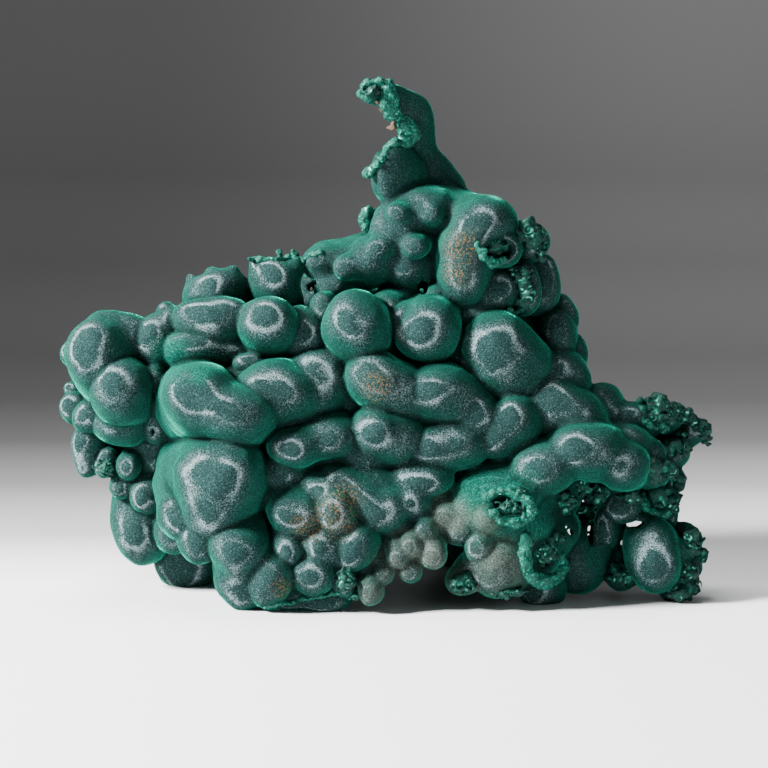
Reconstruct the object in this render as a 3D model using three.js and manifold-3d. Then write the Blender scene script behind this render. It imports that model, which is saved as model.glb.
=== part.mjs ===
// A freestanding botryoidal malachite specimen, grown as one piece: packed round lobes over a
// hollow-footed mass, a broken spire, two small open pockets and a few rounded feet.
// Millimetres, +Z up, the show face looks along -Y.
import * as THREE from 'three';
import { mergeVertices } from 'three/addons/utils/BufferGeometryUtils.js';
import Module from 'manifold-3d';

const wasm = await Module();
wasm.setup();

// ---- driving dimensions -------------------------------------------------------------------
const CAP_BULGE = 0.9;           // depth of a lobe's round end, in mean radii
const STEM_LENGTH = 1.6;         // length of the stem behind it, in mean radii
const BIG_LOBE = 14;             // a lobe of this mean radius or more has more facets
const BACK_LOBE_SIZE = 15;       // mean radius of the lobes that cover the back and the top
const BACK_LOBE_SPACING = 32;    // distance between their centres
const BACK_LOBE_SINK = 7;        // how deep their centres sit under the surface of the mass
const MASS_FACETS = [7, 5];      // around and along each mass, which only shows between lobes
const POCKET_FACETS = [8, 5];
const FLAT_FOOT_DEPTH = 40;      // thickness of the block that trims the feet level
const MALACHITE_GREEN = 0x1d5a49;
const UP = new THREE.Vector3(0, 0, 1);
const DOWN = new THREE.Vector3(0, 0, -1);
const DEPTHWAYS = new THREE.Vector3(0, 1, 0);

// The growth lines that the lobes point away from: a long one from end to end, one up the spire.
const GROWTH_LINES = [
  [[-78, 12, 54], [-12, 14, 64], [45, 14, 68], [84, 4, 40]],
  [[26, 12, 90], [20, 6, 125], [14, 12, 160]],
];

// The masses under the lobes: x, y, z of the centre, then the three radii.
const MASSES = [
  [-72, 10, 52, 24, 28, 32],
  [-45, 10, 60, 30, 38, 34],
  [-8, 13, 66, 38, 40, 36],
  [30, 12, 72, 34, 38, 34],
  [64, 4, 46, 26, 26, 18],
  [24, 4, 106, 20, 15, 24],
  [-24, -18, 28, 26, 22, 22],
  [34, 22, 38, 26, 28, 30],
];

// Lobes: x, y, z of the centre of the round end, half width and half height, then the roll in
// degrees where the lobe leans.
const LEFT_CLUSTER = [
  [-96, -15, 80, 10.5, 12],
  [-86, -10, 86, 8, 7],
  [-87, -20, 69.5, 10, 11],
  [-88, -14, 57, 9, 8],
  [-103.5, -5, 72, 6, 11],
  [-99, -9, 50, 6, 9],
  [-83, -13, 38, 8.5, 9],
  [-82, -4, 20.5, 9.5, 12],
];

const UPPER_RIDGE = [
  [-75, -11, 86, 8, 8],
  [-58, -15, 91.5, 11, 7, 20],
  [-37, -20, 91.5, 11, 9],
  [-27, -19, 87.5, 8.5, 9],
  [-57, -7, 99.5, 9, 7, 30],
  [-55, -5, 104.5, 7, 5.5],
  [-37, -7, 105, 9, 7.5],
];

const HEART_LOBE = [
  [-60, -36, 69.7, 13, 12],
  [-46, -36, 67.5, 13, 10.5],
  [-29, -32, 72, 13, 10],
];

const GREAT_LOBE = [
  [-57, -40, 46, 13.5, 12],
  [-56, -41, 33.5, 10, 11],
  [-73, -29, 46, 7.5, 10],
  [-65, -33, 27, 9, 10.5],
];

const FRONT_FOOT = [
  [-48, -42, 21.5, 10, 11],
  [-37, -41, 11.5, 9, 10.5],
  [-24, -42, 11.5, 8, 8],
  [-14, -41, 8, 9, 5.5],
];

const APRON = [
  [-29, -40, 34, 10.5, 8.5],
  [-16, -41, 32.5, 9.5, 9],
  [-20, -36, 43, 13, 7],
  [-11, -42, 22, 10, 8.5],
  [1, -37, 34.5, 9.5, 8.5],
  [-5, -32, 47, 11, 7.5],
  [12, -33, 43, 10, 7],
];

const MIDDLE_LOBES = [
  [-30, -38, 54, 8, 7],
  [-19, -31, 56, 9.5, 7.5],
  [1, -31, 56.5, 12, 8],
  [-2, -29, 74.8, 10, 8.5, 25],
  [15, -25, 70.3, 13, 9.5, -15],
  [15, -22, 91, 10.5, 11.5],
  [-9, -24, 92, 10.5, 11.5],
  [20, -29, 53, 12, 7.5],
  [32, -26, 63, 9, 8.5],
  [42, -26, 58, 9.5, 9.5],
  [38, -20, 86, 11, 10.5],
  [44, -17, 75, 13, 12],
  [62, -17, 64, 12, 10, 20],
];

const TOP_RIGHT = [
  [32, -12, 125.4, 11, 10],
  [28, -14, 114, 10, 11],
  [30, -14, 102, 11, 8],
  [43, -10, 117, 9, 8],
  [51, -6, 103, 8, 12],
  [56, -8, 86, 8.5, 10],
];

const UPPER_BODY = [
  [12, -5, 127, 13, 9.5],
  [8, -9, 112, 11, 10],
  [-5, -6, 112, 12, 8.5],
  [-18, -3, 110, 9.5, 9],
];

const SPIRE = [
  [18, -1, 138, 9, 9.5],
  [14.5, 0, 147, 8.5, 9.5],
  [12, 1, 155, 8, 7],
  [7, 1, 161.5, 8.5, 5.5, 40],
  [-1.5, 0, 167, 8, 4.2, 15],
  [3, -3, 141, 9, 8.5],
];

const RIGHT_SIDE = [
  [54, -30, 46, 10, 9],
  [67, -28, 51.6, 10, 8.5],
  [79, -25, 47.5, 9.5, 8.5],
  [85, -12, 56, 9, 7.5],
  [97, -8, 58, 8, 6],
  [105, -5, 54, 5, 5],
  [98, -9, 47, 6, 7],
  [92, -13, 37, 8.5, 9],
];

const RIGHT_FEET = [
  [78, -19, 30, 7, 7],
  [66, -21, 12, 8.5, 10],
  [65, -16, 25, 7, 9],
  [95, -18, 27, 5, 7],
  [90, -26, 14, 10, 13],
  [80, -21, 8.5, 6.5, 6],
  [102, -21, 12, 5, 9],
];

const CANOPY = [
  [41, -29, 29, 18, 16],
  [25, -36, 29, 9, 8],
  [13.5, -41, 25, 6, 6],
  [5, -44, 18.5, 8, 5, 45],
  [-3, -45, 9, 6, 7],
  [16, -43, 19.5, 5, 5.2],
  [40, -38, 36, 11, 6],
  [38, -35, 15, 12, 11],
  [27, -37, 9.5, 7, 5.5],
  [52, -33, 17, 9, 10],
];

const BACK_LOBES = [
  [30, 36, 24, 15, 14],
  [-40, 32, 28, 14, 13],
  [56, 20, 32, 13, 13],
];

// Feet point straight down and are worn level where the specimen stands on them.
const FEET = [
  [-47, -42, 7.5, 10, 9.5],
  [-67, 5, 8.5, 11, 11],
  [53, -28, 6, 8, 7.5],
  [97, -24, 5, 7, 6.5],
  [30, 38, 12, 14, 15],
];

const HAND_PLACED = [
  ...LEFT_CLUSTER, ...UPPER_RIDGE, ...HEART_LOBE, ...GREAT_LOBE, ...FRONT_FOOT, ...APRON,
  ...MIDDLE_LOBES, ...TOP_RIGHT, ...UPPER_BODY, ...SPIRE, ...RIGHT_SIDE, ...RIGHT_FEET,
  ...CANOPY, ...BACK_LOBES,
];

// Open pockets and broken-open ends: x, y, z of the centre, then the three radii.
const POCKETS = [
  [41, -50, 36, 7, 10, 3.6],
  [53, -47, 18, 4.5, 10, 6],
  [-1.5, -5, 155.5, 8.5, 9, 7],
];

// ---- shape helpers ------------------------------------------------------------------------
function solidOf(geometry) {
  geometry.deleteAttribute('normal');
  geometry.deleteAttribute('uv');
  const merged = mergeVertices(geometry, 1e-4);
  const mesh = new wasm.Mesh({
    numProp: 3,
    vertProperties: new Float32Array(merged.attributes.position.array),
    triVerts: new Uint32Array(merged.index.array),
  });
  return new wasm.Manifold(mesh);
}

function geometryOf(solid) {
  const mesh = solid.getMesh();
  const geometry = new THREE.BufferGeometry();
  geometry.setAttribute('position', new THREE.BufferAttribute(mesh.vertProperties, 3));
  geometry.setIndex(new THREE.BufferAttribute(mesh.triVerts, 1));
  return geometry;
}

function ellipsoid([x, y, z, radiusX, radiusY, radiusZ], [around, along]) {
  const geometry = new THREE.SphereGeometry(1, around, along);
  geometry.scale(radiusX, radiusY, radiusZ);
  geometry.translate(x, y, z);
  return solidOf(geometry);
}

function nearestOnLine(point, line) {
  let best = null;
  for (let i = 0; i + 1 < line.length; i += 1) {
    const start = new THREE.Vector3(...line[i]);
    const end = new THREE.Vector3(...line[i + 1]);
    const candidate = new THREE.Line3(start, end).closestPointToPoint(point, true, new THREE.Vector3());
    if (!best || candidate.distanceTo(point) < best.distanceTo(point)) best = candidate;
  }
  return best;
}

function growthDirection(point) {
  const roots = GROWTH_LINES.map((line) => nearestOnLine(point, line));
  roots.sort((a, b) => a.distanceTo(point) - b.distanceTo(point));
  return point.clone().sub(roots[0]).normalize();
}

// A lobe is egg-shaped: a round end of its own depth in front, a longer tapering stem behind.
function lobe([x, y, z, halfWidth, halfHeight, rollDegrees = 0], direction = null) {
  const centre = new THREE.Vector3(x, y, z);
  const outward = direction ?? growthDirection(centre);
  const meanRadius = (halfWidth + halfHeight) / 2;
  const geometry = meanRadius < BIG_LOBE
    ? new THREE.OctahedronGeometry(1, 1)
    : new THREE.IcosahedronGeometry(1, 1);
  const points = geometry.attributes.position;
  for (let i = 0; i < points.count; i += 1) {
    const reach = points.getY(i) > 0 ? CAP_BULGE : STEM_LENGTH;
    points.setY(i, points.getY(i) * reach * meanRadius);
  }
  geometry.scale(halfWidth, 1, halfHeight);
  geometry.rotateY(THREE.MathUtils.degToRad(rollDegrees));
  const reference = Math.abs(outward.z) > 0.95 ? DEPTHWAYS : UP;
  const across = new THREE.Vector3().crossVectors(outward, reference).normalize();
  const upward = new THREE.Vector3().crossVectors(across, outward);
  geometry.applyMatrix4(new THREE.Matrix4().makeBasis(across, outward, upward).setPosition(centre));
  return solidOf(geometry);
}

function isInside([x, y, z], [cx, cy, cz, rx, ry, rz]) {
  return Math.hypot((x - cx) / rx, (y - cy) / ry, (z - cz) / rz) < 1;
}

// The back, the top and the ends of each mass carry lobes on an even spiral.
function spiralLobes(mass, massIndex) {
  const [cx, cy, cz, rx, ry, rz] = mass;
  const meanRadius = (rx + ry + rz) / 3;
  const count = Math.round((4 * Math.PI * meanRadius ** 2) / BACK_LOBE_SPACING ** 2);
  const goldenAngle = Math.PI * (3 - Math.sqrt(5));
  const lobes = [];
  for (let i = 0; i < count; i += 1) {
    const up = 1 - (2 * (i + 0.5)) / count;
    const flat = Math.sqrt(1 - up * up);
    const turn = goldenAngle * i + massIndex;
    const way = new THREE.Vector3(flat * Math.cos(turn), flat * Math.sin(turn), up);
    const onFace = [cx + way.x * rx, cy + way.y * ry, cz + way.z * rz];
    const outward = new THREE.Vector3(way.x / rx, way.y / ry, way.z / rz).normalize();
    const hidden = MASSES.some((other) => other !== mass && isInside(onFace, other));
    if (hidden || outward.y < -0.15 || up < -0.75) continue;
    const size = BACK_LOBE_SIZE * (0.8 + 0.4 * Math.abs(Math.sin(7 * i + massIndex)));
    const centre = new THREE.Vector3(...onFace).addScaledVector(outward, -BACK_LOBE_SINK);
    lobes.push(lobe([centre.x, centre.y, centre.z, size, size * 0.92], outward));
  }
  return lobes;
}

// Small sealed hollows between the lobes are filled: only the one outer skin is kept.
function outerSkin(geometry) {
  const corners = geometry.index.array;
  const leader = Array.from({ length: geometry.attributes.position.count }, (_, i) => i);
  const leaderOf = (i) => {
    let root = i;
    while (leader[root] !== root) root = leader[root];
    leader[i] = root;
    return root;
  };
  for (let i = 0; i < corners.length; i += 3) {
    const root = leaderOf(corners[i]);
    leader[leaderOf(corners[i + 1])] = root;
    leader[leaderOf(corners[i + 2])] = root;
  }
  const skins = new Map();
  for (let i = 0; i < corners.length; i += 3) {
    const root = leaderOf(corners[i]);
    if (!skins.has(root)) skins.set(root, []);
    skins.get(root).push(corners[i], corners[i + 1], corners[i + 2]);
  }
  const largest = [...skins.values()].sort((a, b) => b.length - a.length)[0];
  const skin = new THREE.BufferGeometry();
  skin.setAttribute('position', geometry.attributes.position);
  skin.setIndex(largest);
  return mergeVertices(skin.toNonIndexed(), 1e-5);
}

// ---- the specimen -------------------------------------------------------------------------
function specimen() {
  const masses = MASSES.map((mass) => ellipsoid(mass, MASS_FACETS));
  const lobes = HAND_PLACED.map((row) => lobe(row));
  const feet = FEET.map((row) => lobe(row, DOWN));
  const backs = MASSES.flatMap((mass, index) => spiralLobes(mass, index));
  let body = masses[0];
  for (const piece of [...masses.slice(1), ...lobes, ...feet, ...backs]) body = body.add(piece);
  for (const pocket of POCKETS) body = body.subtract(ellipsoid(pocket, POCKET_FACETS));
  const floorBlock = new THREE.BoxGeometry(400, 400, FLAT_FOOT_DEPTH);
  floorBlock.translate(0, 0, -FLAT_FOOT_DEPTH / 2);
  return outerSkin(geometryOf(body.subtract(solidOf(floorBlock))));
}

const geometry = specimen();
geometry.computeBoundingBox();
const middle = geometry.boundingBox.getCenter(new THREE.Vector3());
geometry.translate(-middle.x, -middle.y, -geometry.boundingBox.min.z);

const material = new THREE.MeshStandardMaterial({
  color: MALACHITE_GREEN,
  roughness: 0.85,
  metalness: 0,
});
const stone = new THREE.Mesh(geometry, material);
stone.name = 'malachite_specimen';

const object = new THREE.Group();
object.add(stone);
export default object;
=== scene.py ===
"""Looks for a freestanding botryoidal malachite specimen.

The stone is sculpted as a field of distances: packed round lobes over a few masses, with crusty
curls on its broken edges. Lengths inside the sculpting are millimetres, and the meshes are metres.
"""

import math

import bpy
import numpy as np
import openvdb
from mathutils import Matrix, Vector


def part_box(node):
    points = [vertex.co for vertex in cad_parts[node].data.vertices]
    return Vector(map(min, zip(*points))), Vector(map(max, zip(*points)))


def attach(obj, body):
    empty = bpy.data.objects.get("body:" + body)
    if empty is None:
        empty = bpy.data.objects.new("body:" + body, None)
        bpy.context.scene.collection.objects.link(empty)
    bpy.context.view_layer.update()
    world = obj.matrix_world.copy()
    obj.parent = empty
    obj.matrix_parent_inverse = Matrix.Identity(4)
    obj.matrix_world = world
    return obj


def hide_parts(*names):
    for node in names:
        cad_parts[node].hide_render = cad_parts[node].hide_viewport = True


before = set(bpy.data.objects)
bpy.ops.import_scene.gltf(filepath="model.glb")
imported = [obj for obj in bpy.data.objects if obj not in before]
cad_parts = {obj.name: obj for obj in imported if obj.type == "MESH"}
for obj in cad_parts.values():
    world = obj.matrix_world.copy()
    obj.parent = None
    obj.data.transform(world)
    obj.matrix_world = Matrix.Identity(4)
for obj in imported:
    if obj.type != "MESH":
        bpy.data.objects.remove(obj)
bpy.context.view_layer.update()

# ---- driving dimensions ----
NODE = "malachite_specimen"
MM = 0.001
STEP = 0.8  # spacing of the sculpting grid
FINE_STEP = 0.4  # the same for crusts, rims and crumbs
MOST_TRIANGLES = 196000  # of any one mesh
FAR = 30.0  # a distance that counts as well outside
BAND = 3.0  # how far each side of the surface the distances are used
CAP_BULGE = 1.12  # depth of a lobe's round end, in mean radii
STEM_LENGTH = 1.5  # straight stem behind it, in mean radii
LOBE_SQUARENESS = 2.0  # 2 is an ellipsoid, more has a flatter end
LOBE_SWELL = 1.04  # how much fuller the lobes are than the solid's facets
MASS_BLEND = 6.0  # rounding where the masses meet
LOBE_BLEND = 6.0  # rounding inside one compound lobe
CREVICE_BLEND = 0.4  # rounding where separate lobes meet
HEART_BLEND = 0.6  # the same on the heart lobe
SPIRE_BLEND = 1.0  # the same on the spire
BACK_BLEND = 1.5  # the same on the back and the top
SOFT_BLEND = 1.7  # the same on the apron, the upper body and the right
POCKET_BLEND = 1.2  # rounding of a pocket's rim
SHORT_STEM = 0.5  # stem of the spire and the right feet, in mean radii
LEAST_UNEVEN = 6.5  # mean radius from which a lobe gets a second bulge
COARSE_BUMPS = ((15.0, 1.1), (7.0, 0.6))  # wavelengths and heights of the uneven surface
FINE_BUMPS = (2.8, 0.16)  # the same for the finest of it
BACK_SPACING = 18  # between the lobes of the back
BACK_SIZE = 10.5  # their usual radius
BACK_SINK = 6.5  # how far their centres are under a mass's face
GOLDEN_TURN = math.pi * (3 - math.sqrt(5))  # from one point to the next of an even spiral
LIGHT_SIDE = np.array([-0.22, -0.95, 0.24])  # the way that the painted highlight rings face on the show side, between the camera and the key light
VIEW_ELEVATION = math.radians(8)  # how far above level the show side is seen from
FRONT_Y = -45.0  # where a seen height starts from the floor
SIGHT_END = 30  # how far back a sight line is followed
SIGHT_STEP = 0.4  # between the points tried on it
TOUCHING = 0.3  # how near a sight line meets the stone
MOST_BEHIND = 12  # how far behind clear_y the stone still counts
RIM_DEPTH = -12  # where a rim is that stands clear of the stone
CRUMB_DEPTH = -8  # the same for crumbs

# Where the growth table's leftmost and rearmost points are, to lay it in the CAD box.
TABLE_LEFT = -110.66
TABLE_BACK = 56.94
GRID_LOW = (TABLE_LEFT - 8, -64.0, -4.0)
GRID_HIGH = (119.0, 70.0, 182.0)
stone_low, stone_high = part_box(NODE)
SHIFT = np.array([stone_low[0] / MM - TABLE_LEFT, stone_high[1] / MM - TABLE_BACK, 0.0])

rng = np.random.default_rng(20)

# ---- growth table ----
# The growth lines that the lobes point away from: a long one from end to end, one up the spire.
GROWTH_LINES = (
    ((-78, 12, 54), (-12, 14, 64), (45, 14, 68), (84, 4, 40)),
    ((26, 12, 90), (20, 6, 125), (14, 12, 160)),
)

# The masses under the lobes: x, y, z of the centre, then the three radii.
MASSES = (
    (-72, 10, 52, 24, 27, 31),
    (-45, 10, 60, 30, 39, 33),
    (-8, 13, 66, 38, 41, 35),
    (30, 12, 72, 32, 38, 32),
    (64, 4, 46, 25, 25, 16),
    (24, 4, 106, 19, 14, 23),
    (-24, -18, 28, 25, 22, 21),
    (34, 22, 38, 24, 27, 28),
)

# Lobes: x, y, z of the centre of the round end, half width, half height, and the roll in degrees
# where it leans. The rows inside one pair of square brackets melt together into one lobe.
LEFT_CLUSTER = (
    [(-95.5, -15, 80.5, 11, 12.5), (-93, -10, 89, 4.5, 4), (-86, -10, 86, 7.5, 6.5)],
    [(-87, -20, 69.5, 10, 11)], [(-88, -14, 57.5, 9, 7)], [(-104.5, -5, 80.5, 4.5, 5)],
    [(-105, -3, 68, 3, 3)], [(-104, -6, 62.5, 4.5, 5.5)], [(-98.5, -11, 60, 5.5, 5.5)],
    [(-99.5, -9, 52, 4.5, 4.5), (-99.5, -8, 45, 4.5, 6)], [(-93.5, -10, 43.5, 4.5, 4.5)],
    [(-86, -14, 43.5, 4.5, 4.8)], [(-88, -12, 36.5, 4.5, 4.5)], [(-80, -13, 33.5, 6, 6.5)],
    [(-82, -4, 20.5, 9.5, 12), (-84, -7, 26, 7, 6)], [(-71, -14, 22, 6.5, 8)],
    [(-76.5, -16, 73, 4.5, 7)], [(-76, -15, 58, 5, 6)],
)

UPPER_RIDGE = (
    [(-77, -12, 85, 6.5, 7.5), (-70, -9, 91, 5, 4.5)],
    [(-60, -15, 91, 10, 6.5, 20), (-51, -16, 93, 7, 6)], [(-38, -21, 91.5, 10.5, 9)],
    [(-28, -16, 87.5, 9, 9.5)], [(-62, -16, 82, 12, 5.5), (-48, -15, 81, 8, 4.5)],
    [(-44.5, -22, 79.3, 5.8, 3.4)], [(-60, -8, 98.5, 9, 5.5, 35), (-52, -6, 102, 7, 6.5)],
    [(-58, -5, 105, 2.8, 5)], [(-50.5, -5, 105, 2.8, 5.5)], [(-64.5, -6, 101.5, 2.2, 4)],
    [(-37, -7, 104, 9, 8)],
)

HEART_LOBE = (
    [(-58.5, -33, 68.5, 11.5, 12), (-46.5, -34.5, 63.5, 12, 9), (-60, -36, 71, 8.5, 8),
    (-48.5, -38, 65.5, 11, 7.5)], [(-40, -30, 68.5, 10.5, 11), (-33, -27.5, 70, 11, 11)],
    [(-25, -23.5, 72, 10.5, 11), (-18, -20, 74, 8.5, 9)], [(-61, -25.5, 67, 12, 13)],
    [(-63.5, -20.5, 66, 11.5, 13)],
)

GREAT_LOBE = (
    [(-53, -34, 41.5, 15, 15.5), (-55.5, -35, 32, 10, 10), (-58.5, -38.5, 47, 8, 7),
    (-51, -39.5, 47, 8, 7)], [(-58.5, -28.5, 42.5, 13, 14)], [(-61.5, -22.5, 42, 12.5, 12.5)],
    [(-67, -32, 30, 8.5, 8.5)], [(-61, -35, 23, 8, 8.5)],
)

FRONT_FOOT = (
    [(-48, -41.5, 22, 9.5, 9), (-47, -36, 10.5, 9.5, 9)], [(-38, -41, 11.5, 8.5, 10.5)],
    [(-31.5, -44, 21.5, 5, 5)], [(-24, -43, 12.5, 6.5, 7)],
    [(-30, -40, 5.5, 8, 4.2), (-18, -40, 5.8, 8, 4)], [(-13, -42, 10, 4.5, 5)],
)

APRON = (
    [(-33, -35, 45.5, 7.5, 6)], [(-29, -41, 33.5, 10, 7.5)], [(-16, -41, 32.5, 8, 9)],
    [(-20, -37, 40.5, 9, 6)], [(-9, -42, 22.5, 8, 8)], [(-20, -43, 23.5, 7, 6)],
    [(-8, -37, 38, 7, 6)], [(1, -37, 33.5, 8, 8)], [(-5, -34, 41.5, 8, 5.5)],
    [(13, -33, 43, 9.5, 6)], [(-8, -30, 50, 9, 6)], [(9, -36, 35.5, 7, 6)],
    [(-16, -38, 44.5, 5, 3.5), (-10, -39, 41, 5, 4), (-5, -41, 36, 4.5, 4), (-2, -41.5, 31, 4, 4)],
)

MIDDLE_LOBES = (
    [(-30, -38, 54, 8, 6.5), (-19, -31, 56, 9.5, 7.5)],
    [(-2, -32, 57.2, 8.5, 7.5), (5, -29, 54.8, 8.5, 7.5)],
    [(-3, -29, 75, 9.5, 8.5, 25), (6, -26, 71, 10, 8.5), (13, -24, 69, 8, 8)],
    [(17, -26, 70.3, 12, 9.5, -15), (26, -22, 66, 10, 8)], [(15, -22, 90.8, 10.5, 11)],
    [(8, -22, 94.5, 5, 5)], [(17, -17, 101, 4.5, 4.5)], [(-9, -24, 92, 10.5, 11.5)],
    [(-20, -16, 97, 4.5, 5.5)], [(1, -15, 98.5, 6, 4.5)],
    [(17, -30, 53, 8, 7), (26, -27, 53.5, 9, 7.5)],
    [(37, -20, 86.5, 11, 10.5), (43, -17, 77.5, 12.5, 12)], [(28, -19, 77, 5.5, 8)],
)

RIGHT_SLOPE = (
    [(31, -26, 63.3, 8, 8)], [(43, -26, 60.3, 8.5, 8.5), (37, -27, 55, 5.5, 6.5)],
    [(61, -19, 62.5, 11, 8.5, 30), (55, -20, 66, 8, 8)], [(59, -13, 73, 10, 9)],
    [(72, -11, 62, 8.5, 9)],
)

TOP_RIGHT = (
    [(32, -12, 125.4, 10.5, 9.5), (26.5, -14, 116, 9, 10.5), (27, -15, 106, 8.5, 8.5)],
    [(37, -12, 103, 9, 8)], [(30, -15, 95.5, 7.5, 4.5), (37, -14, 98, 6, 4.5)],
    [(50, -5, 103.5, 6, 10)], [(58, -8, 87, 6.5, 8)], [(60, -4, 93, 4, 7)], [(63, -6, 81, 5, 6.5)],
    [(38, -16, 117, 7, 6)], [(48, -9, 119, 5.5, 6.5)], [(46, -14, 103, 4, 8.5)],
)

UPPER_BODY = (
    [(14, -5, 128.5, 12, 8.5), (6, -6, 122.5, 10.5, 9)], [(10, -9, 111, 9, 9.5)],
    [(-4, -6, 112.5, 12, 8.5)], [(-18, -3, 111, 9.5, 8)], [(-17, -6, 104.5, 8, 5)],
    [(-6, -4, 125, 2.2, 3.6)], [(5, -15, 129, 4.5, 3.8)], [(16, -15, 128, 4.5, 4.2)],
    [(11, -17, 118, 5, 4.5)], [(-1, -15, 117, 4.5, 4)], [(-12, -14, 111, 4.5, 4.5)],
    [(-21, -10, 113, 4.5, 4)],
)

# The spire is a broken blade of thin skin whose front is turned to the right.
SPIRE_FACING = np.array([0.55, -0.82, -0.1])
SPIRE = (
    [(17.5, 3, 133, 11, 9), (14.5, 2, 139, 7, 9), (11.5, 1, 147, 5.2, 9), (12, 1, 155, 5.2, 7.5),
     (8.5, -1, 162, 5.5, 5.2, 40), (3.2, -4, 166.5, 5.4, 4.4, 25), (-2.5, -7, 168, 4.6, 3.6, 0)],
    [(6, -6, 138.5, 8.5, 8), (4, -7, 145, 6, 5.5)],
)

RIGHT_LOBES = (
    [(53.5, -30, 46, 10, 9)], [(65, -29, 51.5, 9.5, 8.5), (71, -26, 49, 8, 8)],
    [(79, -26, 46, 8.5, 8)], [(82, -19, 53, 7.5, 5.5)], [(88.5, -17, 48.8, 5.5, 4.8)],
    [(83, -12, 58, 9, 6.5)],
)

RIGHT_SIDE = (
    [(91, -9, 60, 4.5, 5.5)], [(98, -7, 59.5, 4.5, 4)], [(105.5, -5, 54.4, 4, 4.2)],
    [(98, -9, 47.5, 5, 5)], [(90, -17, 42, 5.5, 5.5)], [(97.5, -10, 37.5, 4.5, 4.5)],
    [(93, -13, 32.5, 6, 5.5)],
)

RIGHT_FEET = (
    [(80, -19, 31, 6, 5)], [(75, -18, 21.5, 4.5, 7.5)], [(66, -21, 11.5, 8.8, 9.8)],
    [(95, -18, 27.5, 3.6, 5)], [(90, -26, 13.3, 9.2, 11)], [(80, -21, 8.5, 6, 5.5)],
    [(102, -20, 19, 4, 5.5)], [(103, -21, 11, 3.8, 4.5)],
)

CANOPY = (
    [(40, -27, 30.5, 15.5, 14.5), (31, -30, 31, 11, 10)], [(45, -31, 27, 11.5, 11.5)],
    [(20, -36, 30.5, 7, 5.5)], [(25, -37, 27, 6, 6)], [(13.5, -41, 26.5, 5, 4.5)],
    [(9, -44, 22.5, 4, 4)], [(16, -43, 19.5, 4.8, 5)], [(4, -45, 18.5, 4.2, 4)],
    [(0, -45, 13, 4, 4)], [(-4, -46, 8, 4.2, 4.8)], [(8.5, -44, 13.5, 4, 3.6)],
    [(34.5, -42, 31, 4.5, 4)], [(41, -38, 35, 9, 6)], [(38, -35, 15, 12, 11)],
    [(27, -37, 9.5, 7, 5.2)], [(31.5, -41, 21, 5.2, 5.2)], [(50, -34, 17, 7.8, 9)],
)

BACK_LOBES = (
    [(30, 36, 24, 15, 14)], [(-40, 32, 28, 14, 13)], [(56, 20, 32, 13, 13)],
)

# Feet point straight down and are worn level where the specimen stands on them.
FEET = (
    [(-46, -38, 8, 7.5, 7.5)], [(-67, 4, 8.5, 11, 10)], [(53, -28, 6, 7.5, 7)],
    [(97, -24, 5, 6, 6)], [(30, 36, 13, 14, 14)],
)

# Open pockets and broken-open ends: x, y, z of the centre, then the three radii.
POCKETS = (
    (41, -50, 36, 7, 10, 3.8),
    (53, -47, 18, 4.5, 10, 6),
    (-1.5, -5, 155.5, 8.5, 9, 7),
    (38, -22, 117, 4.5, 5, 3.6),
)

# Spots: x, z of the middle seen from the show side, then the radius. Rust and grey spots are stains and
# wear, plain and faint spots drop or weaken the painted highlight ring, hood spots are banded emerald
# patches, and the shadow spots are painted shadow under the right-hand lobes.
RUST_SPOTS = (
    (-2, 74, 6), (-16, 32, 8), (-25, 29, 6), (26, 118, 7), (24, 110, 5), (-13, 38, 6), (-34, 9, 4),
)
PLAIN_SPOTS = ((12, 163, 10), (14, 150, 13), (20, 139, 11), (2, 143, 9), (3, 166, 7), (66, 12, 12),
               (62, 24, 9), (-38, 11, 7))
FAINT_SPOTS = ((8, 122, 17), (-10, 110, 14), (-22, 104, 10), (14, 108, 9), (57, 104, 8), (61, 88, 8),
               (67, 79, 6))
HOOD_SPOTS = ((40, 34, 15), (29, 40, 12), (50, 30, 9), (-71, 82, 8), (-60, 80, 5))
# Painted shadow: where the lobes above shade the stone, it is darkened.
PAINTED_SHADOW_SPOTS = ((66, 29, 9), (72, 34, 6), (59, 30, 6))
GREY_SPOTS = (
    (16, 19, 9), (9, 22, 7), (2, 15, 8), (-4, 7, 7), (27, 9, 9), (38, 14, 12), (33, 30, 6), (22, 31, 8),
)


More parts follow.
